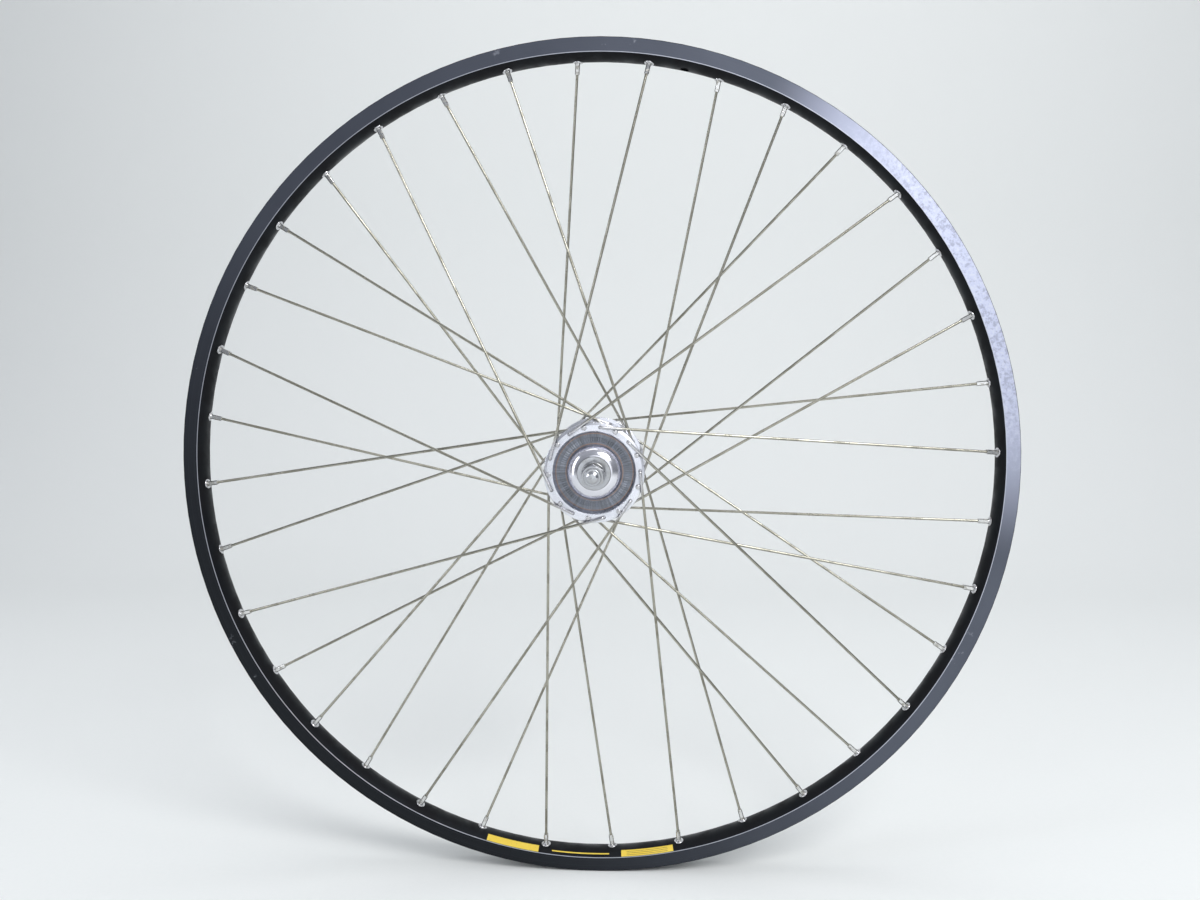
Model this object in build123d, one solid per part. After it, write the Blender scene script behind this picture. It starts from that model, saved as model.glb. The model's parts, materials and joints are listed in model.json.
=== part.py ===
from build123d import *
import os
from math import acos, atan2, cos, degrees, pi, radians, sin, tan

# A rear bicycle wheel built around a planetary three-speed hub gear, all sizes in millimetres.
#
# The outlines below are in the wheel's own frame: x to the right and y up in the wheel's plane, and z
# along the axle towards the left side, away from the sprocket. save() turns that frame so that the
# axle lies along the row's Y axis, the left side faces -Y and Z points up. The origin is the centre
# of the rim. At rest the gear stands in first: the clutch drives the gear ring, the gear ring turns
# the planets round the fixed sun, and the planet cage drives the shell through the low pawls.

# ---- Driving dimensions ----------------------------------------------------------------------
over_locknuts = 126.0
axle_stub = 2.8             # how far each end of the axle stands past its locknut
thread_radius = 4.8
stub_radius = {+1: 4.2, -1: 4.5}    # the plain ends that sit in the frame's slots
stub_length = 1.3
rod_bore = 2.6              # the axle is hollow on the right, for the shift rod
journal_radius = 6.5        # the thick middle of the axle, which the planet cage runs on
running_gap = 0.05          # radial gap of a plain running fit
thread_gap = 0.03           # radial gap of a screwed or pressed joint
spanner_size = 15.0         # across the flats of the cones and locknuts

# Rim: a box section for a glued tubular tyre
rim_radius = 316.5
rim_width = 20.5
brake_track_height = 10.6
rim_depth = 14.2
rim_wall = 1.0
rim_bed_wall = 1.3
tyre_bed_depth = 3.5
rim_lip = 1.25
valve_hole_radius = 3.3
valve_angle = 77.5
access_hole_radius = 4.2    # in the tyre bed, above each spoke nipple

# Film labels on the left bevel of the spoke bed: (first angle, last angle, low turn, high turn),
# where the turns are measured round the bed's arch from the rim's middle
label_film = 0.12
label_gap = 0.02
label_spans = [(253.7, 261.5, 17.5, 37.0), (263.5, 272.0, 26.0, 29.5), (273.8, 281.5, 17.5, 37.0)]

# Spokes: 36, crossed four times, in four sets of nine
spokes_per_set = 9
spoke_pitch = 360 / spokes_per_set
lacing_phase = 2.5          # angle of the first nipple, from x towards y
lacing_turn = 80.0          # angle between a spoke's flange hole and its nipple
spoke_radius = 1.0
spoke_bend = 1.8            # radius of the elbow's centre line
elbow_stand_off = 2.0       # from the flange face to the spoke's centre line at the hole
spoke_head_radius = 1.75
spoke_head_height = 1.1
nipple_seat_radius = 303.5
nipple_stagger = 1.85       # how far a nipple stands to its own side of the rim's middle
nipple_radius = 1.98
nipple_square = 3.3
nipple_below = 9.8          # length of nipple on the axle's side of its seat
nipple_head_radius = 3.0
nipple_head_height = 2.6
eyelet_flange_radius = 3.7
eyelet_barrel_radius = 2.65

# Hub shell
flange_middle = 31.5
flange_thickness = 3.4
flange_radius = {+1: 37.0, -1: 37.75}
hole_circle_radius = 33.65
spoke_hole_radius = 1.3
barrel_radius = 30.0
barrel_bore = 27.5
cup_bore = 28.75            # both ball cups screw into the shell at this radius

# Gear train: planets between a sun cut on the axle and a toothed ring
gear_module = 0.75
sun_teeth = 20
planet_teeth = 20
ring_teeth = sun_teeth + 2 * planet_teeth
planet_count = 4
pressure_angle = 20.0
tooth_thinning = 0.08
addendum = 0.9 * gear_module
dedendum = 1.1 * gear_module
planet_orbit = gear_module * (sun_teeth + planet_teeth) / 2
planet_pin_radius = 3.0
gear_face = (0.0, 12.1)     # z span of the planets

# Ball bearings: (circle radius, ball radius, number of balls, z, side that the cage opens to)
left_bearing = (10.8, 2.75, 9, 32.0, +1)
driver_bearing = (10.8, 2.75, 9, -43.0, -1)
ring_bearing = (19.5, 2.4, 20, -29.5, -1)
race_gap = 0.03
cage_pocket_gap = 0.06

# Ratchets and pawls, one pair of pawls in the planet cage and one in the gear ring
ratchet_teeth = 20
ratchet_root = 24.3
ratchet_tip = 22.82
ratchet_face = 1.79         # height of each tooth's steep face
pawl_pivot_radius = 20.5
pawl_barrel = 1.7
pawl_pin_radius = 0.9
pawl_reach = 24.0           # angle from a pawl's pivot to its tip, seen from the axle
pawl_tip_radius = 24.1
pawl_nose = 1.7             # height of the pawl's pushing face
pawl_face_gap = 0.08
pawl_first_angle = 45.0
pawl_retract = 12.0         # how far the clutch holds the gear ring's pawls in, in first
left_ratchet_span = (14.5, 23.5)
right_ratchet_span = (-27.0, -19.2)

# Clutch and driver
arm_count = 4
arm_width = 8.0
arm_slot_width = 8.3
driver_bore = 11.0
driver_tube = 14.55

# Sprocket
chain_pitch = 12.7
sprocket_teeth = 16
roller_radius = 3.95
sprocket_seat = 17.4
lug_count = 3

# ---- Shared shapes ---------------------------------------------------------------------------
TO_ROW = Rot(90, 0, 0)
ON_BASE = (Align.CENTER, Align.CENTER, Align.MIN)


def save(node, shapes):
    """Write one node, a shape or a list of separate ones, turned into the row's frame."""
    if isinstance(shapes, list):
        shapes = Compound([(TO_ROW * shape).solid() for shape in shapes])
    else:
        shapes = TO_ROW * shapes
    export_step(shapes, f"parts/{node}.step")


def polar(radius, angle):
    """The (x, y) point at this radius and angle."""
    return radius * cos(radians(angle)), radius * sin(radians(angle))


def turned(*outline):
    """A solid turned about the axle from (radius, z) corners; a third number rounds that corner."""
    face = make_face(Polyline(*[corner[:2] for corner in outline], close=True))
    for corner in outline:
        if len(corner) == 3:
            vertex = face.vertices().sort_by_distance((*corner[:2], 0))[0]
            face = fillet(vertex, corner[2])
    return revolve(Plane.XZ * face, Axis.Z)


def disc(radius, low, high):
    """A round plate between two heights on the axle."""
    return Pos(0, 0, low) * Cylinder(radius, high - low, align=ON_BASE)


def ring(inner, outer, low, high):
    """A plain ring between two heights on the axle."""
    return disc(outer, low, high) - disc(inner, low, high)


def prism(outline, low, high):
    """An (x, y) outline drawn out between two heights."""
    return Pos(0, 0, low) * extrude(make_face(Polyline(*outline, close=True)), high - low)


def pin(radius, orbit, angle, low, high):
    """A round pin parallel to the axle."""
    return Pos(*polar(orbit, angle), 0) * disc(radius, low, high)


def around(shape, count, first=0.0):
    """Copies of a shape, evenly spaced round the axle."""
    return [Rot(0, 0, first + 360 / count * i) * shape for i in range(count)]


def mirrored(corners):
    """An outline for the other side of the hub."""
    return [(corner[0], -corner[1], *corner[2:]) for corner in corners]


# ---- Rim -------------------------------------------------------------------------------------
def rim_outline(half_width, outer, track_end, bed, tyre_bed):
    """The rim's section: straight sides, an arched spoke bed and a hollow tyre bed."""
    lip = half_width - rim_lip
    edges = [
        Line((outer, half_width), (track_end, half_width)),
        ThreePointArc((track_end, half_width), (bed, 0), (track_end, -half_width)),
        Line((track_end, -half_width), (outer, -half_width)),
        Line((outer, -half_width), (outer, -lip)),
        ThreePointArc((outer, -lip), (tyre_bed, 0), (outer, lip)),
        Line((outer, lip), (outer, half_width)),
    ]
    return make_face(edges)


def build_rim(spoke_lines):
    half_width = rim_width / 2
    track_end = rim_radius - brake_track_height
    bed = rim_radius - rim_depth
    tyre_bed = rim_radius - tyre_bed_depth
    section = rim_outline(half_width, rim_radius, track_end, bed, tyre_bed)
    hollow = rim_outline(
        half_width - rim_wall,
        rim_radius - 2.3 * rim_wall,
        track_end + rim_wall / 2,
        bed + rim_bed_wall,
        tyre_bed - 1.1 * rim_wall,
    )
    body = revolve(Plane.XZ * (section - hollow), Axis.Z)
    valve_drill = Cylinder(valve_hole_radius, rim_radius + 1, align=ON_BASE)
    drills = [Rot(0, 0, valve_angle) * Rot(0, 90, 0) * valve_drill]
    drills += [line.location * eyelet_drill() for line in spoke_lines]
    return body - drills


def build_rim_labels():
    half_width = rim_width / 2
    rise = rim_depth - brake_track_height
    arch = (half_width**2 + rise**2) / (2 * rise)
    near = arch + label_gap
    far = near + label_film

    def on_arch(radius, turn):
        centre = rim_radius - rim_depth + arch
        return centre - radius * cos(radians(turn)), radius * sin(radians(turn))

    labels = []
    for first, last, low, high in label_spans:
        middle = (low + high) / 2
        edges = [
            ThreePointArc(on_arch(near, low), on_arch(near, middle), on_arch(near, high)),
            Line(on_arch(near, high), on_arch(far, high)),
            ThreePointArc(on_arch(far, high), on_arch(far, middle), on_arch(far, low)),
            Line(on_arch(far, low), on_arch(near, low)),
        ]
        film = revolve(Plane.XZ * make_face(edges), Axis.Z, revolution_arc=last - first)
        labels.append(Rot(0, 0, first) * film)
    return labels


def eyelet_drill():
    """What each spoke takes out of the rim: eyelet hole, eyelet seat and the access hole above."""
    hole = disc(eyelet_barrel_radius + thread_gap, -6, 6)
    seat = disc(eyelet_flange_radius + thread_gap, -6, -0.9)
    access = disc(access_hole_radius, 4, rim_depth + 4)
    return hole + seat + access


# ---- Spokes, nipples and eyelets -------------------------------------------------------------
class SpokeLine:
    """The centre line of one spoke: its elbow at the flange, its nipple seat and its direction."""

    def __init__(self, side, lying, hole_angle, turn):
        face = flange_middle + lying * flange_thickness / 2
        self.outward = side * lying
        self.head = Vector(*polar(hole_circle_radius, hole_angle), side * (face - lying * flange_thickness))
        self.elbow = Vector(*polar(hole_circle_radius, hole_angle), side * (face + lying * elbow_stand_off))
        self.seat = Vector(*polar(nipple_seat_radius, hole_angle + turn), side * nipple_stagger)
        self.along = (self.seat - self.elbow).normalized()
        self.location = Plane(self.seat, z_dir=self.along).location


def build_spoke(line):
    through = Vector(0, 0, line.outward)
    bend = radians(through.get_angle(line.along))
    tangent = spoke_bend * tan(bend / 2)
    start = line.elbow - through * tangent
    finish = line.elbow + line.along * tangent
    end = line.seat + line.along * (nipple_head_height + 0.4)
    root = line.head - through * spoke_head_height / 2
    path = Line(root, start) + TangentArc(start, finish, tangent=through) + Line(finish, end)
    shank = sweep(Plane(root, z_dir=through) * Circle(spoke_radius), path)
    head = disc(spoke_head_radius, -spoke_head_height, 0)
    head = fillet(head.edges().sort_by(Axis.Z)[0], 0.7)
    return shank + Plane(line.head, z_dir=through).location * head


def build_nipple():
    """A nipple about its own axis, with its seat at z = 0."""
    shank = disc(nipple_radius, -nipple_below, 1.3)
    square = Pos(0, 0, -6.6) * Box(nipple_square, nipple_square, 8.0)
    shank = (shank & square) + disc(nipple_radius, -2.6, 1.3)
    head = disc(nipple_head_radius, 1.25, 1.25 + nipple_head_height)
    head = chamfer(head.edges().sort_by(Axis.Z)[-1], 0.9)
    return shank + head - disc(spoke_radius + thread_gap, -nipple_below - 1, 5)


def build_eyelet():
    flange = disc(eyelet_flange_radius, -1.8, -0.9)
    flange = fillet(flange.edges().sort_by(Axis.Z)[0], 0.6)
    barrel = disc(eyelet_barrel_radius, -0.95, 1.2)
    return flange + barrel - disc(nipple_radius + 0.12, -3, 3)


# ---- Hub shell, its ball cups and covers -----------------------------------------------------
def build_hub_shell():
    face = flange_middle + flange_thickness / 2
    back = flange_middle - flange_thickness / 2

    def flange(side):
        edge = flange_radius[side]
        return [
            (30.5, face, 0.6),
            (34.9, face, 0.8),
            (edge, face - 0.75, 0.5),
            (edge, back + 0.75, 0.5),
            (34.9, back, 0.8),
            (31.6, back),
            (31.0, back - 1.0),
            (31.0, 22.0),
            (barrel_radius, 18.0),
        ]

    left_mouth = [(cup_bore, 14.3), (cup_bore, 26.3)]
    right_mouth = [(cup_bore, -face + 0.5), (cup_bore, -19.0), (barrel_bore, -19.0), (barrel_bore, 14.3)]
    shell = turned(*left_mouth, *flange(+1), *reversed(mirrored(flange(-1))), *right_mouth)
    hole = pin(spoke_hole_radius, hole_circle_radius, 0, back - 1, face + 1)
    left_holes = around(hole, 2 * spokes_per_set, lacing_phase)
    right_holes = [Pos(0, 0, -2 * flange_middle) * Rot(0, 0, spoke_pitch / 4) * h for h in left_holes]
    return shell - left_holes - right_holes


def ball_path(bearing, gap):
    """The ring that the balls of a bearing sweep, widened by a gap."""
    circle, ball, _, z, _ = bearing
    return Pos(0, 0, z) * Torus(circle, ball + gap)


def build_left_ball_cup():
    cup = turned(
        (9.2, 23.5),
        (cup_bore - thread_gap, 23.5),
        (cup_bore - thread_gap, 26.0),
        (19.7, 26.0),
        (19.7, 28.0),
        (15.5, 28.0),
        (15.5, 34.0),
        (13.75, 34.0),
        (13.75, 32.0),
        (9.2, 32.0),
    )
    return cup - ball_path(left_bearing, race_gap) + ratchet_ring(left_ratchet_span)


def build_left_dust_cap():
    """The domed cap pressed over the left ball cup."""
    thickness = 0.75
    foot, crown = (20.75, 26.03), (12.45, 37.0)
    outer = ThreePointArc(foot, (18.7, 32.9), crown)
    inner = ThreePointArc((foot[0] - thickness, foot[1]), (18.05, 32.4), (crown[0], crown[1] - thickness))
    section = make_face([outer, Line(crown, inner @ 1), inner, Line(inner @ 0, foot)])
    return revolve(Plane.XZ * section, Axis.Z)


def build_right_ball_ring():
    cup = turned(
        (17.9, -29.5),
        (17.9, -27.0),
        (cup_bore - thread_gap, -27.0),
        (cup_bore - thread_gap, -34.0, 0.5),
        (21.95, -34.0),
        (21.95, -29.5),
    )
    return cup - ball_path(ring_bearing, race_gap) + ratchet_ring(right_ratchet_span)


# ---- Ratchets and pawls ----------------------------------------------------------------------
def pawl_points():
    """The pawl's pivot, the tip of its pushing face, and the arm's direction, for a pivot on the x axis."""
    pivot = Vector(pawl_pivot_radius, 0)
    tip = Vector(*polar(pawl_tip_radius, pawl_reach))
    return pivot, tip, (tip - pivot).normalized()


def ratchet_ring(span):
    """A ring of inward saw teeth. Each steep face stands square to the arm of the pawl that pushes it."""
    _, tip, arm = pawl_points()
    retract = arm.rotate(Axis.Z, 90)
    root = tip + arm * pawl_face_gap - retract * (ratchet_root - pawl_tip_radius)
    crest = root + retract * ratchet_face
    root_angle = pawl_first_angle + degrees(atan2(root.Y, root.X))
    crest_angle = pawl_first_angle + degrees(atan2(crest.Y, crest.X))
    outline = []
    for i in range(ratchet_teeth):
        turn = 360 / ratchet_teeth * i
        outline.append(polar(ratchet_root, root_angle + turn))
        outline.append(polar(ratchet_tip, crest_angle + turn))
    return disc(cup_bore - thread_gap, *span) - prism(outline, *span)


def build_pawl(angle, swing, low, high):
    """A pawl at this angle round the axle, swung in by so many degrees from its engaged place."""
    pivot, tip, arm = pawl_points()
    inward = arm.rotate(Axis.Z, 90)
    corners = [tip, tip + inward * pawl_nose, pivot + inward * pawl_barrel, pivot - inward * pawl_barrel]
    body = prism([(corner.X, corner.Y) for corner in corners], low, high)
    body += pin(pawl_barrel, pawl_pivot_radius, 0, low, high)
    body -= pin(pawl_pin_radius + running_gap, pawl_pivot_radius, 0, low, high)
    swung = Pos(pawl_pivot_radius, 0, 0) * Rot(0, 0, swing) * Pos(-pawl_pivot_radius, 0, 0) * body
    return Rot(0, 0, angle) * swung


def pawl_angles():
    return [pawl_first_angle, pawl_first_angle + 180]


def build_pawl_pins(low, high):
    return [pin(pawl_pin_radius, pawl_pivot_radius, angle, low, high) for angle in pawl_angles()]


def build_pawl_springs(z):
    """Hairpin springs, each a wire looped round its pawl's pin with two straight legs."""
    wire, loop, leg = 0.22, 1.3, 3.2
    first, last = Vector(loop, 0), Vector(-loop, 0)
    path = Line(first + Vector(0, leg), first)
    path += ThreePointArc(first, Vector(0, -loop), last)
    path += Line(last, last + Vector(0, leg))
    hairpin = sweep(Plane(first + Vector(0, leg), z_dir=(0, -1, 0)) * Circle(wire), path)
    placed = Pos(pawl_pivot_radius, 0, z) * Rot(0, 0, 50) * hairpin
    return [Rot(0, 0, angle) * placed for angle in pawl_angles()]


# ---- Gear train ------------------------------------------------------------------------------
def involute(radius, base):
    """The involute angle, in degrees, at a radius."""
    angle = acos(min(1, base / radius))
    return degrees(tan(angle) - angle)


def tooth_outline(teeth, radii, internal=False):
    """A closed gear outline. Each flank has one point for each of the radii, from root to tip."""
    pitch_radius = gear_module * teeth / 2
    base = pitch_radius * cos(radians(pressure_angle))
    half_at_pitch = 90 / teeth - degrees(tooth_thinning / 2 / pitch_radius)
    sense = -1 if internal else 1
    flank = []
    for radius in radii:
        slope = involute(pitch_radius, base) - involute(max(radius, base), base)
        flank.append((radius, half_at_pitch + sense * slope))
    outline = []
    for i in range(teeth):
        centre = 360 / teeth * i
        outline += [polar(radius, centre - half) for radius, half in flank]
        outline += [polar(radius, centre + half) for radius, half in reversed(flank)]
    return outline


def external_gear(teeth, low, high):
    pitch_radius = gear_module * teeth / 2
    radii = [pitch_radius + step for step in (-dedendum, -0.45, 0, addendum / 2, addendum)]
    return prism(tooth_outline(teeth, radii), low, high)


def ring_gear_hollow(low, high):
    pitch_radius = gear_module * ring_teeth / 2
    radii = [pitch_radius + step for step in (dedendum, 0, -addendum)]
    return prism(tooth_outline(ring_teeth, radii, internal=True), low, high)


def build_gear_ring():
    outer = 25.3
    ring_body = turned(
        (driver_tube + running_gap, -17.5),
        (driver_tube + running_gap, -26.5),
        (22.2, -26.5),
        (22.2, -25.2),
        (16.4, -25.2),
        (16.4, -18.9),
        (outer, -18.9),
        (outer, 12.8),
        (19.0, 12.8),
        (19.0, -17.5),
    )
    ring_body -= disc(22.2, -5.5, 0) + ring_gear_hollow(-0.05, 13)
    channel = Pos(11.3, 0, -11.5) * Box(22.6, arm_slot_width, 12.0)
    ring_body -= around(channel & disc(22.6, -18, 0), arm_count)
    pin_hole_radius = pawl_pin_radius + thread_gap
    ring_body -= [pin(pin_hole_radius, pawl_pivot_radius, a, -27, -18.0) for a in pawl_angles()]
    return ring_body


def build_planet_cage():
    plate_radius, end_radius = 21.2, 22.2
    cage = turned(
        (journal_radius + running_gap, 12.4),
        (plate_radius, 12.4),
        (plate_radius, 13.4),
        (end_radius, 13.4),
        (end_radius, 15.0),
        (13.0, 15.0),
        (13.0, 21.8),
        (end_radius, 21.8),
        (end_radius, 23.2),
        (journal_radius + running_gap, 23.2),
    )
    cage += ring(9.0, plate_radius, -3.6, -0.3)
    cage += around(pin(3.2, 17.6, 0, -0.4, 12.5), planet_count, 45)
    cage -= around(pin(planet_pin_radius + thread_gap, planet_orbit, 0, -4, 15.5), planet_count)
    cage -= [pin(pawl_pin_radius + thread_gap, pawl_pivot_radius, a, 13.2, 24) for a in pawl_angles()]
    return cage


def build_planet(index):
    """A planet, turned half a tooth so that its gaps face the sun's and the ring's teeth."""
    gear = external_gear(planet_teeth, *gear_face) - disc(planet_pin_radius + running_gap, -1, 13)
    return Rot(0, 0, 90 * index) * Pos(planet_orbit, 0, 0) * Rot(0, 0, 180 / planet_teeth) * gear


# ---- Axle and what is screwed on it ----------------------------------------------------------
def build_axle():
    end = over_locknuts / 2
    tip = end + axle_stub

    def half(side):
        return [
            (thread_radius, end),
            (stub_radius[side], end),
            (stub_radius[side], end + stub_length),
            (stub_radius[side] - 0.3, end + stub_length + 0.2),
            (stub_radius[side] - 0.45, tip - 0.8, 0.7),
        ]

    right = [(0, -tip), (rod_bore, -tip)] + list(reversed(mirrored(half(-1))))
    shoulders = [
        (thread_radius, -36.5),
        (journal_radius, -36.0),
        (journal_radius, 27.0),
        (thread_radius, 27.5),
    ]
    body = turned(*right, *shoulders, *half(+1), (2.75, tip - 0.1, 0.8), (0, tip))
    body += external_gear(sun_teeth, gear_face[0] - 0.3, gear_face[1])
    body -= disc(rod_bore, -tip - 1, -6)
    return body - Pos(0, 0, -10.25) * Box(20, 4.2, 7.5)


def cone_outline(inner_end, track, outer_shoulder, outer_end):
    """A bearing cone for the left side: nose, ball track, shoulder and a neck for a spanner."""
    return [
        (thread_radius + thread_gap, inner_end),
        (6.6, inner_end),
        (7.8, inner_end + 2.0),
        (7.8, track),
        (9.7, track),
        (9.7, outer_shoulder),
        (8.6, outer_shoulder),
        (8.6, outer_end, 0.5),
        (thread_radius + thread_gap, outer_end),
    ]


def spanner_flats(low, high):
    """What two flats take off a round neck."""
    blank = Box(2 * spanner_size, 2 * spanner_size, high - low)
    kept = Box(spanner_size, 3 * spanner_size, high - low)
    return Pos(0, 0, (low + high) / 2) * (blank - kept)


def build_left_cone():
    cone = turned(*cone_outline(28.0, left_bearing[3], 37.0, 43.0))
    return cone - ball_path(left_bearing, race_gap) - spanner_flats(39.5, 44)


def build_right_cone():
    cone = turned(*mirrored(cone_outline(39.0, -driver_bearing[3], 49.5, 54.0)))
    return cone - ball_path(driver_bearing, race_gap) - spanner_flats(-55, -51)


def build_locknut(low, high):
    """A hexagonal locknut with a round collar, for the left side."""
    collar_start = high - 3.0
    flat = spanner_size / 2
    corner = flat / cos(radians(30))
    hexagon = extrude(RegularPolygon(flat, 6, major_radius=False, rotation=30), collar_start - low)
    dressed = turned(
        (0, low),
        (flat + 0.4, low),
        (corner, low + 0.5),
        (corner, collar_start - 0.5),
        (flat, collar_start),
        (0, collar_start),
    )
    nut = (Pos(0, 0, low) * hexagon) & dressed
    nut += turned((0, collar_start - 0.5), (5.93, collar_start - 0.5), (5.93, high, 0.5), (0, high))
    return nut - disc(thread_radius + thread_gap, low - 1, high + 1)


# ---- Driver, clutch and shift rod ------------------------------------------------------------
def build_driver():
    body = turned(
        (driver_bore, -7.5),
        (driver_tube, -7.5),
        (driver_tube, -27.0),
        (16.9, -27.6),
        (16.9, -29.5),
        (18.4, -29.5),
        (18.4, -36.0),
        (19.2, -36.0),
        (19.2, -40.0),
        (sprocket_seat, -40.0),
        (sprocket_seat, -46.5),
        (16.5, -46.5),
        (16.5, -47.7),
        (sprocket_seat, -47.7),
        (sprocket_seat, -50.0, 0.4),
        (13.75, -50.0),
        (13.75, -43.0),
        (9.2, -43.0),
        (9.2, -30.0),
        (driver_bore, -30.0),
    )
    body -= [ball_path(driver_bearing, race_gap), ball_path(ring_bearing, race_gap)]
    body -= around(Pos(13, 0, -12.3) * Box(6, arm_slot_width, 9.8), arm_count)
    return body - around(Pos(17.4, 0, -45.5) * Box(3.2, 5.2, 11.0), lug_count, 90)


def build_clutch():
    """A cross with a round hub: the arms pass through the driver's slots into the gear ring."""
    arms = [Rot(0, 0, 90 * i) * Pos(14, 0, -14) * Box(16.8, arm_width, 5.0) for i in range(arm_count)]
    clutch = disc(driver_bore - 0.15, -18.5, -9.5)
    for arm in arms:
        clutch += arm & disc(22.3, -17, -11)
    return clutch - disc(10.0, -14.5, -9) - disc(7.1, -19, -9)


def build_thrust_ring():
    return ring(7.0, 9.85, -14.3, -11.3) - Pos(0, 0, -12.4) * Box(25, 4.3, 2.6)


def build_axle_key():
    bar = (Pos(0, 0, -12.0) * Box(19.6, 4.0, 3.2)) & disc(9.8, -14, -10)
    return bar - disc(1.23, -14, -10)


def build_shift_rod():
    """The rod in the axle's bore, with a pin at its inner end that the axle key sits on."""
    end = over_locknuts / 2 + 1
    return turned((0, -10.6), (1.2, -10.6), (1.2, -13.7), (2.2, -13.7), (2.2, -end, 0.4), (0, -end))


def build_clutch_spring():
    """An open coil between the driver's inner shoulder and the clutch, wound round the axle."""
    wire, mean_radius, low, high, turns = 0.65, 9.95, -29.3, -19.2, 3.5
    coil = Helix((high - low) / turns, high - low, mean_radius)
    section = Plane(coil @ 0, z_dir=coil % 0) * Circle(wire)
    return Pos(0, 0, low) * sweep(section, coil, is_frenet=True)


# ---- Sprocket --------------------------------------------------------------------------------
def build_sprocket(low, high):
    pitch_radius = chain_pitch / 2 / sin(pi / sprocket_teeth)
    blank = disc(pitch_radius + 2.6, low, high)
    blank = chamfer(blank.edges(), 0.9)
    gaps = around(pin(roller_radius, pitch_radius, 0, low - 1, high + 1), sprocket_teeth)
    lugs = around(Pos(17.0, 0, (low + high) / 2) * Box(2.2, 5.0, high - low), lug_count, 90)
    sprocket = blank - gaps - disc(sprocket_seat + running_gap, low - 1, high + 1)
    for lug in lugs:
        sprocket += lug
    return sprocket - around(pin(3.2, 23.5, 30, low - 1, high + 1), 6)


def build_circlip(low, high):
    clip = ring(16.55, 18.6, low, high)
    return clip - Pos(0, 17.5, (low + high) / 2) * Box(7, 5, high - low + 1)


# ---- Ball bearings ---------------------------------------------------------------------------
def build_balls(bearing):
    circle, ball, count, z, _ = bearing
    return around(Pos(circle, 0, z) * Sphere(ball), count)


def build_ball_cage(bearing):
    """A crown cage: a ring on the bearing's open side, with a pocket for each ball."""
    circle, ball, count, z, side = bearing
    ends = sorted([z + side * 0.4, z + side * (ball + 0.65)])
    crown = ring(circle - 0.7, circle + 0.7, *ends)
    return crown - around(Pos(circle, 0, z) * Sphere(ball + cage_pocket_gap), count)


# ---- The whole wheel -------------------------------------------------------------------------
os.makedirs("parts", exist_ok=True)

spoke_sets = {
    "spokes_left_outer": (+1, +1, lacing_phase + 80, -lacing_turn),
    "spokes_left_inner": (+1, -1, lacing_phase + 100, +lacing_turn),
    "spokes_right_outer": (-1, +1, lacing_phase + 10, -lacing_turn),
    "spokes_right_inner": (-1, -1, lacing_phase + 30, +lacing_turn),
}
spoke_lines = []
for node, (side, lying, hole_angle, turn) in spoke_sets.items():
    save(node, around(build_spoke(SpokeLine(side, lying, hole_angle, turn)), spokes_per_set))
    for i in range(spokes_per_set):
        spoke_lines.append(SpokeLine(side, lying, hole_angle + spoke_pitch * i, turn))
save("nipples", [line.location * build_nipple() for line in spoke_lines])
save("eyelets", [line.location * build_eyelet() for line in spoke_lines])
save("rim", build_rim(spoke_lines))
save("rim_labels", build_rim_labels())

save("hub_shell", build_hub_shell())
save("left_ball_cup", build_left_ball_cup())
save("left_dust_cap", build_left_dust_cap())
save("right_ball_ring", build_right_ball_ring())
save("right_dust_cap", ring(18.7, 21.95 - thread_gap, -33.9, -33.3))

save("axle", build_axle())
save("left_cone", build_left_cone())
save("left_cone_shield", ring(8.6 + thread_gap, 12.15, 37.02, 37.62))
save("left_lock_washer", ring(thread_radius + 0.1, 8.2, 43.02, 44.6))
save("left_spacer", ring(thread_radius + 0.1, 7.3, 44.62, 52.98))
save("left_locknut", build_locknut(53.0, over_locknuts / 2))
save("right_cone", build_right_cone())
save("right_lock_washer", ring(thread_radius + 0.1, 8.2, -55.6, -54.02))
save("right_locknut", Rot(180, 0, 0) * build_locknut(55.62, over_locknuts / 2))

save("planet_cage", build_planet_cage())
save("planet_pins", around(pin(planet_pin_radius, planet_orbit, 0, -5.0, 14.9), planet_count))
for i in range(planet_count):
    save(f"planet_{i + 1}", build_planet(i))
save("low_pawl_pins", build_pawl_pins(13.25, 23.2))
save("low_pawl_springs", build_pawl_springs(20.95))
save("gear_ring", build_gear_ring())
save("ring_pawl_pins", build_pawl_pins(-26.5, -18.05))
save("ring_pawl_springs", build_pawl_springs(-24.65))
for number, angle in enumerate(pawl_angles(), 1):
    save(f"low_pawl_{number}", build_pawl(angle, 0, 15.3, 20.4))
    save(f"ring_pawl_{number}", build_pawl(angle, pawl_retract, -24.1, -19.2))

save("driver", build_driver())
save("driver_dust_cap", ring(10.0, 13.75 - thread_gap, -49.9, -49.3))
save("sprocket_spacers", [ring(sprocket_seat + 0.1, 21.0, z - 1.55, z) for z in (-40.02, -41.6)])
save("sprocket", build_sprocket(-46.4, -43.2))
save("sprocket_circlip", build_circlip(-47.65, -46.55))
save("clutch", build_clutch())
save("clutch_spring", build_clutch_spring())
save("thrust_ring", build_thrust_ring())
save("axle_key", build_axle_key())
save("shift_rod", build_shift_rod())

for name, bearing in {"left": left_bearing, "driver": driver_bearing, "ring": ring_bearing}.items():
    save(f"{name}_balls", build_balls(bearing))
    save(f"{name}_ball_cage", build_ball_cage(bearing))
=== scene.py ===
import json
import math

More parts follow.
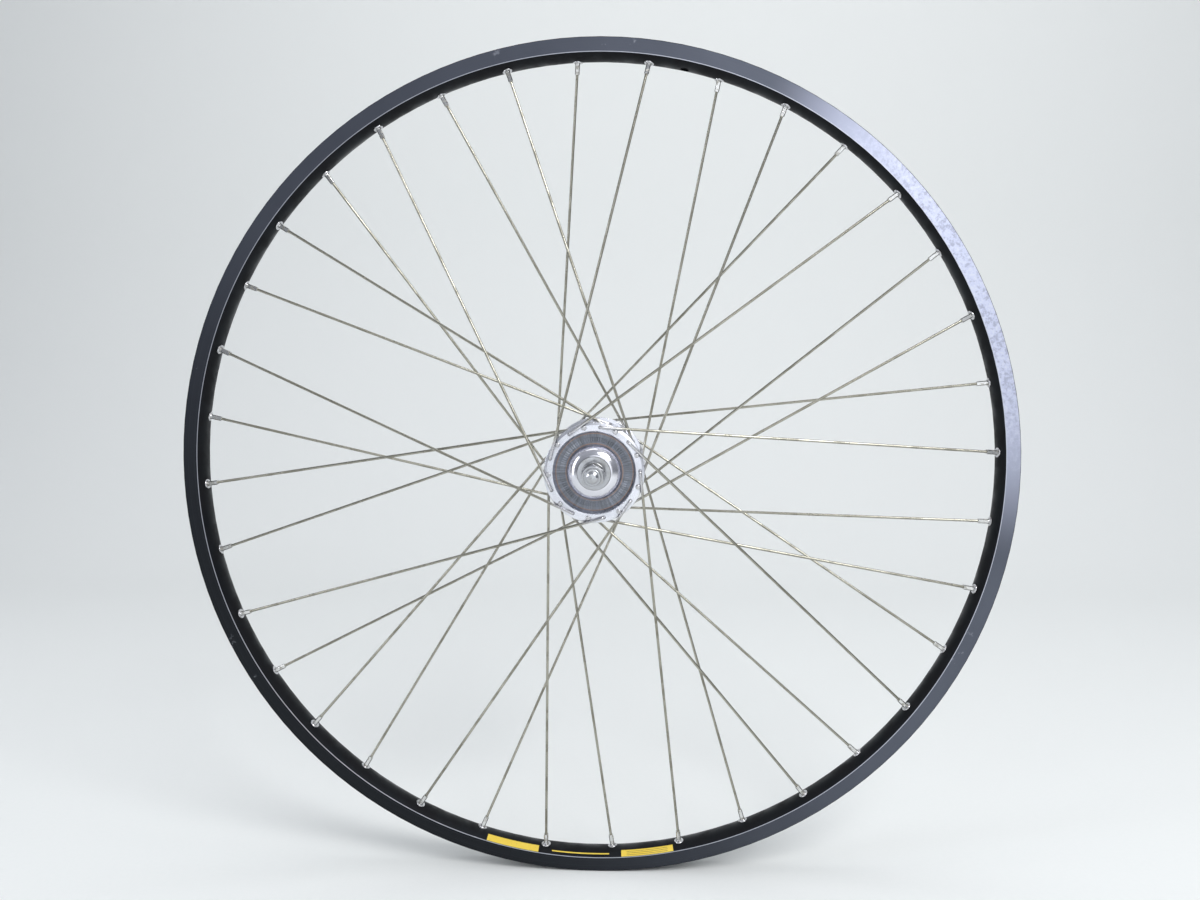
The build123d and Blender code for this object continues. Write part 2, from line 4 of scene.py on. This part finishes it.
import bpy
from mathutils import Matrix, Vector


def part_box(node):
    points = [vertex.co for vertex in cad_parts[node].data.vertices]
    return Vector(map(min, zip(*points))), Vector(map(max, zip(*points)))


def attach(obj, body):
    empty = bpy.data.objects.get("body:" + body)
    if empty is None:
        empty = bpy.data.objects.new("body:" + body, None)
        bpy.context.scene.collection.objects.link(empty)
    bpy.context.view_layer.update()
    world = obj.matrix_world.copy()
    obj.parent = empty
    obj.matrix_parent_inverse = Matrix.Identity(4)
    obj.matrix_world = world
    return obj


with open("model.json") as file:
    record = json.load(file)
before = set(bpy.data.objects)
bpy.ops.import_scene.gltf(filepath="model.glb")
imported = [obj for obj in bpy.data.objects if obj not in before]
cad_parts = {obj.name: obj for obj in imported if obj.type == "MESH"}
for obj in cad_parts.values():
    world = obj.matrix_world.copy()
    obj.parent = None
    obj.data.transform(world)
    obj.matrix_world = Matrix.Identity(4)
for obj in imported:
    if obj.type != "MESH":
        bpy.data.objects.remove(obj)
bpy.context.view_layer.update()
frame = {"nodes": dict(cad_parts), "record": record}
nodes = frame["nodes"]

# ---- Places taken from the frame, in metres ----------------------------------------------------
rim_low, rim_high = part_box("rim")
rim_radius = rim_high.x
rim_half_width = rim_high.y
shell_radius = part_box("hub_shell")[1].x
cap_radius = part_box("left_dust_cap")[1].x
cup_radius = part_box("left_ball_cup")[1].x
sprocket_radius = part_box("sprocket")[1].x
cup_face_y = -0.0260    # the flat face of the left ball cup, round its dust cap

# ---- The rim's section, as it is built, in metres ------------------------------------------------
RIM_DEPTH = 0.0142        # from the outer edge to the spoke bed
TRACK_HEIGHT = 0.0106     # from the outer edge to where the flat brake track meets the bevel
LABEL_TOP = 0.00014       # how far a label's outer face stands off the bevel
track_edge = rim_radius - TRACK_HEIGHT
bevel_rise = RIM_DEPTH - TRACK_HEIGHT
bevel_arch = (rim_half_width**2 + bevel_rise**2) / (2 * bevel_rise)
bevel_centre = rim_radius - RIM_DEPTH + bevel_arch

# ---- Camera ------------------------------------------------------------------------------------
CAMERA_PLACE = Vector((0.0284, -0.6936, 0.0731))
CAMERA_LOOK = Vector((-0.03625, 0.99574, -0.08479))
LENS_MM = 27.3

# ---- Where the rim has its painted sheen and wear, and its painted shade, as angles in the wheel's plane from +X towards +Z ---
SHEEN_AND_WEAR_SIDE = math.radians(27)
SHADED_SIDE = math.radians(225)
JOINT_ANGLE = math.radians(257.5)    # the fine line where the rim's two ends meet

CREVICE_SHADE = (0.030, 0.027, 0.024)    # the colour of painted shade in the corners and gaps of metal pieces


def add_camera():
    camera_data = bpy.data.cameras.new("camera")
    camera_data.lens = LENS_MM
    camera_data.sensor_width = 36
    camera = bpy.data.objects.new("camera", camera_data)
    camera.location = CAMERA_PLACE
    camera.rotation_euler = CAMERA_LOOK.to_track_quat("-Z", "Y").to_euler()
    bpy.context.scene.collection.objects.link(camera)
    bpy.context.scene.camera = camera


# ---- Material kit ------------------------------------------------------------------------------
class Finish:
    """One material: its shader, and short calls that add the nodes behind it."""

    def __init__(self, name, metallic=1.0):
        self.material = bpy.data.materials.new(name)
        self.material.use_nodes = True
        self.tree = self.material.node_tree
        self.shader = self.tree.nodes["Principled BSDF"]
        self.shader.inputs["Metallic"].default_value = metallic
        self.place = self.add("ShaderNodeTexCoord").outputs["Object"]

    def add(self, kind, **settings):
        node = self.tree.nodes.new(kind)
        for key, value in settings.items():
            setattr(node, key, value)
        return node

    def feed(self, socket, value):
        """Join a socket to another node's output, or set it to a plain value."""
        if isinstance(value, bpy.types.NodeSocket):
            self.tree.links.new(value, socket)
        elif isinstance(value, tuple) and len(value) == 3 and socket.type == "RGBA":
            socket.default_value = (*value, 1)
        else:
            socket.default_value = value

    def set(self, **inputs):
        for name, value in inputs.items():
            self.feed(self.shader.inputs[name.replace("_", " ").title()], value)

    def math(self, operation, *values):
        node = self.add("ShaderNodeMath", operation=operation)
        for socket, value in zip(node.inputs, values):
            self.feed(socket, value)
        return node.outputs[0]

    def vector(self, x, y, z):
        node = self.add("ShaderNodeCombineXYZ")
        for socket, value in zip(node.inputs, (x, y, z)):
            self.feed(socket, value)
        return node.outputs[0]

    def axes(self):
        return self.add_fed("ShaderNodeSeparateXYZ", self.place).outputs

    def add_fed(self, kind, value):
        node = self.add(kind)
        self.feed(node.inputs[0], value)
        return node

    def radius(self):
        """The distance from the axle."""
        x, _, z = self.axes()
        squares = self.math("ADD", self.math("MULTIPLY", x, x), self.math("MULTIPLY", z, z))
        return self.math("SQRT", squares)

    def facing(self, angle):
        """1 on the side of the wheel at this angle, -1 on the far side."""
        x, _, z = self.axes()
        across = self.math("MULTIPLY", x, math.cos(angle))
        up = self.math("MULTIPLY", z, math.sin(angle))
        return self.math("DIVIDE", self.math("ADD", across, up), self.math("MAXIMUM", self.radius(), 0.001))

    def noise(self, scale, detail=3.0, vector=None, roughness=0.55):
        node = self.add("ShaderNodeTexNoise")
        self.feed(node.inputs["Vector"], vector or self.place)
        node.inputs["Scale"].default_value = scale
        node.inputs["Detail"].default_value = detail
        node.inputs["Roughness"].default_value = roughness
        return node.outputs["Fac"]

    def ramp(self, value, low, high, bottom=0.0, top=1.0):
        """A smooth step: bottom below low, top above high."""
        node = self.add("ShaderNodeMapRange", interpolation_type="SMOOTHSTEP")
        for name, number in (("From Min", low), ("From Max", high), ("To Min", bottom), ("To Max", top)):
            node.inputs[name].default_value = number
        self.feed(node.inputs["Value"], value)
        return node.outputs["Result"]

    def band(self, value, middle, half, soft):
        """1 within half of the middle, falling to 0 over the soft distance."""
        away = self.math("ABSOLUTE", self.math("SUBTRACT", value, middle))
        return self.ramp(away, half, half + soft, 1.0, 0.0)

    def mix(self, share, first, second):
        node = self.add("ShaderNodeMix", data_type="RGBA")
        self.feed(node.inputs[0], share)
        self.feed(node.inputs[6], first)
        self.feed(node.inputs[7], second)
        return node.outputs[2]

    def blend(self, share, first, second):
        node = self.add("ShaderNodeMix", data_type="FLOAT")
        self.feed(node.inputs[0], share)
        self.feed(node.inputs[2], first)
        self.feed(node.inputs[3], second)
        return node.outputs[0]

    def bump(self, height, distance, strength=1.0):
        node = self.add("ShaderNodeBump")
        node.inputs["Strength"].default_value = strength
        node.inputs["Distance"].default_value = distance
        self.feed(node.inputs["Height"], height)
        self.feed(self.shader.inputs["Normal"], node.outputs["Normal"])

    def crevice(self, distance):
        """1 deep in corners and gaps, 0 in the open: the mask for painted shade."""
        node = self.add("ShaderNodeAmbientOcclusion", samples=4)
        node.inputs["Distance"].default_value = distance
        return self.ramp(node.outputs["AO"], 0.30, 0.85, 1.0, 0.0)

    # The marks that a tool leaves, as vectors for a noise
    def turned_marks(self):
        """Rings round the axle, as a lathe leaves them."""
        drift = self.math("MULTIPLY", self.noise(25.0, 1.0), 0.0006)
        return self.vector(self.math("ADD", self.radius(), drift), self.axes()[1], 0.0)

    def ray_marks(self):
        """Streaks that run out from the axle."""
        x, _, z = self.axes()
        radius = self.math("MAXIMUM", self.radius(), 0.001)
        slow = self.math("MULTIPLY", self.radius(), 0.6)
        return self.vector(self.math("DIVIDE", x, radius), slow, self.math("DIVIDE", z, radius))


def turned_metal(name, color, tarnish, rough, crevice_reach, mark_depth=0.000004):
    """Lathe-turned or polished metal: fine rings, a low stain, small dark pits and painted shade in the
    corners.
    """
    finish = Finish(name)
    rings = finish.noise(9000.0, 2.0, finish.turned_marks())
    cloud = finish.ramp(finish.noise(70.0, 4.0), 0.42, 0.72)
    pits = finish.ramp(finish.noise(900.0, 2.0), 0.68, 0.76)
    base = finish.mix(finish.math("MULTIPLY", cloud, 0.5), color, tarnish)
    base = finish.mix(finish.math("MULTIPLY", pits, 0.6), base, tuple(c * 0.35 for c in tarnish))
    # Painted shade: darker deep in corners and gaps.
    base = finish.mix(finish.math("MULTIPLY", finish.crevice(crevice_reach), 0.85), base, CREVICE_SHADE)
    roughness = finish.blend(cloud, rough, rough + 0.12)
    finish.set(base_color=base, roughness=finish.blend(rings, roughness, rough + 0.06))
    finish.bump(rings, mark_depth, 0.35)
    return finish.material


def oiled_steel(name, color, rough):
    """Hardened, ground steel under a thin film of oil, browner and darker where it has pooled."""
    finish = Finish(name)
    grind = finish.noise(1400.0, 3.0, finish.ray_marks())
    pool = finish.ramp(finish.noise(160.0, 3.0), 0.40, 0.66)
    base = finish.mix(pool, color, (color[0] * 0.50, color[1] * 0.42, color[2] * 0.32))
    base = finish.mix(finish.ramp(grind, 0.45, 0.75, 0.0, 0.35), base, tuple(c * 1.35 for c in color))
    finish.set(base_color=base, roughness=finish.blend(pool, rough, 0.14))
    finish.set(coat_weight=0.5, coat_roughness=0.12)
    finish.bump(grind, 0.000006, 0.4)
    return finish.material


def rim_film(finish, rings):
    """The colour of the anodised brake track: slate, with painted shade on one side and a painted pale sheen
    on the other.
    """
    # Painted shade: the film darkens to near black towards SHADED_SIDE.
    shaded_side = finish.ramp(finish.facing(SHADED_SIDE), -0.1, 0.95)
    painted_sheen = finish.ramp(finish.facing(SHEEN_AND_WEAR_SIDE), 0.77, 0.99)
    film = finish.mix(finish.noise(14.0, 3.0), (0.078, 0.086, 0.110), (0.115, 0.126, 0.158))
    film = finish.mix(shaded_side, film, (0.013, 0.015, 0.018))
    film = finish.mix(finish.ramp(rings, 0.50, 0.78, 0.0, 0.30), film, (0.17, 0.18, 0.22))
    # Painted sheen: the film turns pale lavender on the upper-right side.
    return finish.mix(finish.math("MULTIPLY", painted_sheen, 0.85), film, (0.64, 0.67, 0.84))


def rim_bare_metal_and_edge_highlight(finish, track, mottle, sheen_and_rub_side):
    """1 where the film is gone, flecks on the worn side and a few stray ones; and a bright line along the
    track's inner edge, partly wear and partly a painted highlight.
    """
    flecks = finish.ramp(mottle, 0.53, 0.62, 0.0, 0.7)
    stray = finish.ramp(finish.noise(40.0, 5.0, roughness=0.75), 0.64, 0.70, 0.0, 0.25)
    rubbed = finish.math("MAXIMUM", finish.math("MULTIPLY", flecks, sheen_and_rub_side), stray)
    scuff = finish.math("MULTIPLY", rubbed, track)
    # The track's inner edge: a bright line, partly wear and partly a painted highlight.
    edge_wear_and_highlight = finish.band(finish.radius(), track_edge + 0.0001, 0.00012, 0.0002)
    edge_wear_and_highlight = finish.math("MULTIPLY", finish.math("MULTIPLY", edge_wear_and_highlight, track), 0.85)
    return finish.math("MAXIMUM", scuff, edge_wear_and_highlight)


def rim_dark_lines(finish, track):
    """1 on the rim's joint and along the outer edge of the track."""
    x, _, z = finish.axes()
    off_joint = finish.math("SUBTRACT", finish.math("MULTIPLY", x, math.sin(JOINT_ANGLE)),
                            finish.math("MULTIPLY", z, math.cos(JOINT_ANGLE)))
    joint = finish.band(off_joint, 0.0, 0.00006, 0.00010)
    joint = finish.math("MULTIPLY", joint, finish.ramp(finish.facing(JOINT_ANGLE), 0.0, 0.5))
    outer_edge = finish.math("MULTIPLY", finish.band(finish.radius(), rim_radius, 0.0002, 0.0003), track)
    return finish.math("MAXIMUM", joint, outer_edge)


def rim_anodised():
    """Dark hard anodising with painted shade on one side and a painted sheen on the other: rubbed and
    scuffed to bare alloy on the brake track, grimy on the spoke bed.
    """
    finish = Finish("rim_anodised_worn_painted_light", 0.85)
    across = finish.math("ABSOLUTE", finish.axes()[1])
    track = finish.ramp(across, rim_half_width - 0.0004, rim_half_width - 0.0001)
    rings = finish.noise(4200.0, 3.0, finish.turned_marks())
    mottle = finish.noise(330.0, 6.0, roughness=0.72)
    sheen_and_rub_side = finish.ramp(finish.facing(SHEEN_AND_WEAR_SIDE), 0.86, 0.99)

    # Darker mottles across the painted sheen on the rubbed side.
    specks = finish.math("MULTIPLY", finish.ramp(mottle, 0.40, 0.52, 0.65, 0.0), sheen_and_rub_side)
    film = finish.mix(specks, rim_film(finish, rings), (0.30, 0.31, 0.40))
    film = finish.mix(track, (0.014, 0.016, 0.019), film)
    bare_and_edge_highlight = rim_bare_metal_and_edge_highlight(finish, track, mottle, sheen_and_rub_side)
    base = finish.mix(bare_and_edge_highlight, film, (0.64, 0.66, 0.74))

    blotches = finish.ramp(finish.noise(60.0, 5.0), 0.35, 0.65)
    grime = finish.math("MULTIPLY", finish.math("SUBTRACT", 1.0, track), blotches)
    base = finish.mix(finish.math("MULTIPLY", grime, 0.8), base, (0.012, 0.012, 0.014))
    base = finish.mix(rim_dark_lines(finish, track), base, (0.008, 0.008, 0.010))
    rough = finish.blend(bare_and_edge_highlight, finish.blend(rings, 0.28, 0.44), 0.34)
    finish.set(base_color=base, roughness=finish.blend(grime, rough, 0.62))
    height = finish.math("SUBTRACT", finish.math("MULTIPLY", rings, 0.4), finish.math("MULTIPLY", bare_and_edge_highlight, 0.5))
    finish.bump(height, 0.00002, 0.5)
    return finish.material


def cup_steel():
    """The ball cup's face: dark steel with ground streaks that fan out, warm stained edges and painted shade
    in its corners.
    """
    finish = Finish("cup_steel_ground")
    fine = finish.noise(38.0, 5.0, finish.ray_marks(), 0.70)
    broad = finish.noise(7.0, 2.0, finish.ray_marks())
    base = finish.mix(finish.ramp(fine, 0.38, 0.66), (0.150, 0.160, 0.180), (0.255, 0.270, 0.305))
    base = finish.mix(finish.ramp(broad, 0.45, 0.70, 0.0, 0.3), base, (0.30, 0.335, 0.41))
    radius = finish.radius()
    inner_edge = finish.band(radius, cap_radius + 0.0002, 0.0002, 0.0004)
    outer_edge = finish.band(radius, cup_radius, 0.0002, 0.0005)
    edges = finish.math("MULTIPLY", finish.math("MAXIMUM", inner_edge, outer_edge), 0.6)
    base = finish.mix(edges, base, (0.48, 0.29, 0.20))
    # Painted shade: near black deep in corners and gaps.
    base = finish.mix(finish.math("MULTIPLY", finish.crevice(0.0008), 0.7), base, (0.03, 0.03, 0.03))
    finish.set(base_color=base, roughness=finish.blend(fine, 0.24, 0.42))
    finish.bump(fine, 0.00003, 0.6)
    return finish.material


def cap_chrome():
    """Mirror plate with wiping haze, faint smears and a few pinholes of rust."""
    finish = Finish("cap_chrome_plate")
    haze = finish.ramp(finish.noise(45.0, 4.0), 0.45, 0.75)
    smear = finish.noise(500.0, 3.0, finish.turned_marks())
    pinholes = finish.ramp(finish.noise(1500.0, 1.0), 0.72, 0.77)
    base = finish.mix(haze, (0.74, 0.74, 0.79), (0.58, 0.58, 0.63))
    finish.set(base_color=finish.mix(pinholes, base, (0.20, 0.11, 0.06)))
    finish.set(roughness=finish.blend(haze, 0.18, finish.blend(smear, 0.22, 0.30)))
    return finish.material


def spoke_steel():
    """Drawn galvanised wire: olive-grey with dull oxide, cleaner at the heads in the flange."""
    finish = Finish("spoke_steel_drawn")
    oxide = finish.ramp(finish.noise(75.0, 4.0), 0.44, 0.66)
    bands = finish.noise(18.0, 3.0)
    base = finish.mix(bands, (0.270, 0.258, 0.210), (0.500, 0.485, 0.420))
    base = finish.mix(finish.math("MULTIPLY", oxide, 0.5), base, (0.140, 0.132, 0.100))
    heads = finish.ramp(finish.radius(), shell_radius - 0.003, shell_radius + 0.003, 0.75, 0.0)
    base = finish.mix(heads, base, (0.62, 0.62, 0.66))
    finish.set(base_color=base, roughness=finish.blend(oxide, 0.20, 0.36))
    finish.bump(finish.noise(1600.0, 2.0), 0.00001, 0.4)
    return finish.material


def plated_trim(name, color, tarnish):
    """Small plated pieces: bright faces, dull blotches where the plate has gone."""
    finish = Finish(name)
    blotch = finish.ramp(finish.noise(420.0, 4.0), 0.47, 0.66)
    base = finish.mix(finish.math("MULTIPLY", blotch, 0.7), color, tarnish)
    finish.set(base_color=base, roughness=finish.blend(blotch, 0.16, 0.40))
    finish.bump(finish.noise(2200.0, 2.0), 0.000008, 0.4)
    return finish.material


def ball_steel():
    """Polished bearing balls with a smear of clear grease."""
    finish = Finish("ball_steel_greased")
    grease = finish.ramp(finish.noise(380.0, 2.0), 0.45, 0.62)
    base = finish.mix(grease, (0.82, 0.82, 0.84), (0.56, 0.50, 0.38))
    finish.set(base_color=base, roughness=finish.blend(grease, 0.04, 0.22), coat_weight=0.4)
    return finish.material


def spring_steel():
    """Oil-blued wire, straw-coloured in patches and rubbed bright."""
    finish = Finish("spring_steel_blued")
    patches = finish.noise(260.0, 3.0)
    base = finish.mix(finish.ramp(patches, 0.40, 0.60), (0.055, 0.065, 0.120), (0.150, 0.105, 0.070))
    base = finish.mix(finish.ramp(finish.noise(900.0, 2.0), 0.62, 0.74), base, (0.45, 0.45, 0.46))
    finish.set(base_color=base, roughness=finish.blend(patches, 0.22, 0.42))
    return finish.material


def sprocket_steel():
    """Stamped and plated: worn bright on the teeth by the chain, dark with old grease further in."""
    finish = Finish("sprocket_steel_worn")
    radius = finish.radius()
    teeth = finish.ramp(radius, sprocket_radius - 0.0085, sprocket_radius - 0.0035)
    mottled = finish.noise(190.0, 4.0)
    grease = finish.math("MULTIPLY", finish.ramp(mottled, 0.42, 0.60), finish.math("SUBTRACT", 1.0, teeth))
    base = finish.mix(mottled, (0.30, 0.30, 0.31), (0.44, 0.44, 0.45))
    base = finish.mix(teeth, base, (0.62, 0.62, 0.63))
    base = finish.mix(finish.math("MULTIPLY", grease, 0.85), base, (0.020, 0.017, 0.013))
    finish.set(base_color=base, roughness=finish.blend(grease, 0.30, 0.52))
    finish.bump(mottled, 0.00004, 0.4)
    return finish.material


def label_film(name, color, faded, worn_color):
    """Printed film: faded in clouds, chipped to what lies under it, under a thin clear coat."""
    finish = Finish(name, 0.0)
    clouds = finish.noise(55.0, 3.0)
    chips = finish.ramp(finish.noise(520.0, 5.0, roughness=0.7), 0.63, 0.68)
    base = finish.mix(clouds, color, faded)
    finish.set(base_color=finish.mix(chips, base, worn_color), roughness=finish.blend(chips, 0.30, 0.55))
    finish.set(coat_weight=0.25)
    finish.bump(finish.math("SUBTRACT", 1.0, chips), 0.00003, 0.5)
    return finish.material


def backdrop_paper():
    """Plain pale studio paper with the faintest fibre."""
    finish = Finish("backdrop_paper", 0.0)
    fibre = finish.noise(300.0, 2.0)
    finish.set(base_color=finish.mix(fibre, (0.79, 0.81, 0.80), (0.82, 0.83, 0.82)), roughness=0.9)
    return finish.material


# ---- What each CAD piece is finished in ----------------------------------------------------------
def dress_nodes():
    """Give every CAD node the finish of its slot."""
    finishes = {
        "rim_anodised": rim_anodised(),
        "polished_alloy": turned_metal(
            "alloy_polished", (0.83, 0.84, 0.90), (0.60, 0.61, 0.67), rough=0.22, crevice_reach=0.0028
        ),
        "cup_steel": cup_steel(),
        "cap_chrome": cap_chrome(),
        "spoke_steel": spoke_steel(),
        "nipple_plate": plated_trim("nipple_nickel", (0.70, 0.70, 0.69), (0.34, 0.32, 0.27)),
        "eyelet_plate": plated_trim("eyelet_plated", (0.66, 0.66, 0.68), (0.26, 0.25, 0.24)),
        "bright_zinc": turned_metal(
            "zinc_bright", (0.54, 0.55, 0.58), (0.30, 0.29, 0.26), rough=0.13, mark_depth=0.000008,
            crevice_reach=0.003,
        ),
        "gear_steel": oiled_steel("gear_steel_oiled", (0.42, 0.42, 0.44), 0.26),
        "ball_steel": ball_steel(),
        "cage_steel": oiled_steel("cage_steel_pressed", (0.52, 0.49, 0.42), 0.32),
        "spring_steel": spring_steel(),
        "sprocket_steel": sprocket_steel(),
        "label_film": label_film("label_yellow", (0.72, 0.50, 0.03), (0.80, 0.60, 0.08), (0.10, 0.10, 0.11)),
    }
    for subpart in frame["record"]["subparts"]:
        slots = nodes[subpart["node"]].data.materials
        slots.clear()
        slots.append(finishes[subpart["material_slot"]])


# ---- Studio ------------------------------------------------------------------------------------
def add_backdrop():
    """A pale floor that curves up behind the wheel into a plain wall."""
    floor_z = rim_low.z - 0.0005
    front, curve_start, curve_radius, top, half_width = -4.0, 0.9, 0.8, 3.5, 5.0
    profile = [(front, floor_z), (curve_start, floor_z)]
    steps = 24
    for i in range(1, steps + 1):
        turn = math.pi / 2 * i / steps
        y = curve_start + curve_radius * math.sin(turn)
        profile.append((y, floor_z + curve_radius * (1 - math.cos(turn))))
    profile.append((curve_start + curve_radius, top))
    mesh = bpy.data.meshes.new("backdrop")
    corners = [(side * half_width, y, z) for y, z in profile for side in (-1, 1)]
    faces = [(2 * i, 2 * i + 1, 2 * i + 3, 2 * i + 2) for i in range(len(profile) - 1)]
    mesh.from_pydata(corners, [], faces)
    mesh.polygons.foreach_set("use_smooth", [True] * len(faces))
    backdrop = bpy.data.objects.new("backdrop", mesh)
    bpy.context.scene.collection.objects.link(backdrop)
    backdrop.data.materials.append(backdrop_paper())


def add_light(name, place, target, size, power, color=(1, 1, 1)):
    data = bpy.data.lights.new(name, "AREA")
    data.shape = "RECTANGLE"
    data.size, data.size_y = size
    data.energy = power
    data.color = color
    light = bpy.data.objects.new(name, data)
    light.location = place
    light.rotation_euler = (Vector(target) - Vector(place)).to_track_quat("-Z", "Y").to_euler()
    bpy.context.scene.collection.objects.link(light)


def add_world():
    """A dim room: brighter overhead and darker low down, so that polished metal has contrast."""
    world = bpy.data.worlds.new("world")
    world.use_nodes = True
    tree = world.node_tree
    coordinates = tree.nodes.new("ShaderNodeTexCoord")
    split = tree.nodes.new("ShaderNodeSeparateXYZ")
    height = tree.nodes.new("ShaderNodeMapRange")
    height.inputs["From Min"].default_value = -0.25
    height.inputs["From Max"].default_value = 0.75
    height.inputs["To Min"].default_value = 0.22
    height.inputs["To Max"].default_value = 0.50
    tree.links.new(coordinates.outputs["Generated"], split.inputs[0])
    tree.links.new(split.outputs["Z"], height.inputs["Value"])
    background = tree.nodes["Background"]
    background.inputs["Color"].default_value = (0.80, 0.84, 0.92, 1)
    tree.links.new(height.outputs["Result"], background.inputs["Strength"])
    bpy.context.scene.world = world


def add_lights():
    add_light("key", (1.1, -1.5, 1.7), (0, 0, 0.05), (1.2, 1.0), 40)
    add_light("side_strip", (-1.7, -0.9, 0.5), (0, 0, 0), (0.4, 1.6), 10, (0.94, 0.96, 1.0))
    add_light("front_soft", (0.4, -1.6, 0.35), (0, 0, 0.05), (1.3, 1.1), 5, (0.94, 0.97, 1.0))
    add_light("backdrop_wash", (0.1, 0.2, 2.4), (0, 1.2, 0), (2.2, 1.2), 15)
    add_world()
    bpy.context.scene.view_settings.view_transform = "Standard"


# ---- Trim that turns with the wheel ---------------------------------------------------------------
def skin(sections, closed):
    """The corners and faces of one closed body that runs through these sections of corners."""
    loop, count = len(sections[0]), len(sections)
    faces = []
    for i in range(count if closed else count - 1):
        for k in range(loop):
            near, beside = loop * i + k, loop * i + (k + 1) % loop
            far, across = loop * ((i + 1) % count) + k, loop * ((i + 1) % count) + (k + 1) % loop
            faces.append((near, far, across, beside))
    if not closed:
        faces.append(tuple(range(loop)))
        faces.append(tuple(reversed(range(loop * (count - 1), loop * count))))
    corners = [corner for section in sections for corner in section]
    return corners, faces


def add_trim(name, skin_parts, material):
    mesh = bpy.data.meshes.new(name)
    corners, faces = skin_parts
    mesh.from_pydata(corners, [], faces)
    mesh.materials.append(material)
    trim = bpy.data.objects.new(name, mesh)
    bpy.context.scene.collection.objects.link(trim)
    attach(trim, "wheel")


def add_cup_knurl():
    """A ring of short radial ridges round the left ball cup's face, one closed piece of metal."""
    ridges = 88
    crest, valley, root, run_out = 0.00026, 0.00002, 0.00010, 0.0004
    inner, outer = cap_radius + 0.0016, cup_radius - 0.0027
    sections = []
    for i in range(2 * ridges):
        across, up = math.cos(math.pi * i / ridges), math.sin(math.pi * i / ridges)
        height = crest if i % 2 else valley
        outline = [
            (inner, -root),
            (inner, 0.0),
            (inner + run_out, height),
            (outer - run_out, height),
            (outer, 0.0),
            (outer, -root),
        ]
        sections.append([(radius * across, cup_face_y - lift, radius * up) for radius, lift in outline])
    add_trim("cup_face_knurl", skin(sections, True), nodes["left_ball_cup"].data.materials[0])


def add_label_bars():
    """Plain dark bars along the last label, standing just proud of its film."""
    thickness, half_turn, steps = 0.00003, math.radians(0.45), 16
    first, last = math.radians(274.6), math.radians(280.7)
    bar_turns = (23.0, 28.0, 33.0)    # where each bar lies on the bevel's arc, in degrees
    ink = label_film("label_ink", (0.030, 0.026, 0.022), (0.060, 0.050, 0.035), (0.70, 0.48, 0.03))
    for number, bar_turn in enumerate(bar_turns, 1):
        sections = []
        for i in range(steps + 1):
            angle = first + (last - first) * i / steps
            section = []
            for lift, side in ((thickness, -1), (thickness, 1), (0, 1), (0, -1)):
                turn = math.radians(bar_turn) + side * half_turn
                arch = bevel_arch + LABEL_TOP + lift
                radius, y = bevel_centre - arch * math.cos(turn), -arch * math.sin(turn)
                section.append((radius * math.cos(angle), y, radius * math.sin(angle)))
            sections.append(section)
        add_trim(f"label_bar_{number}", skin(sections, False), ink)


add_camera()
add_backdrop()
add_lights()
dress_nodes()
add_cup_knurl()
add_label_bars()
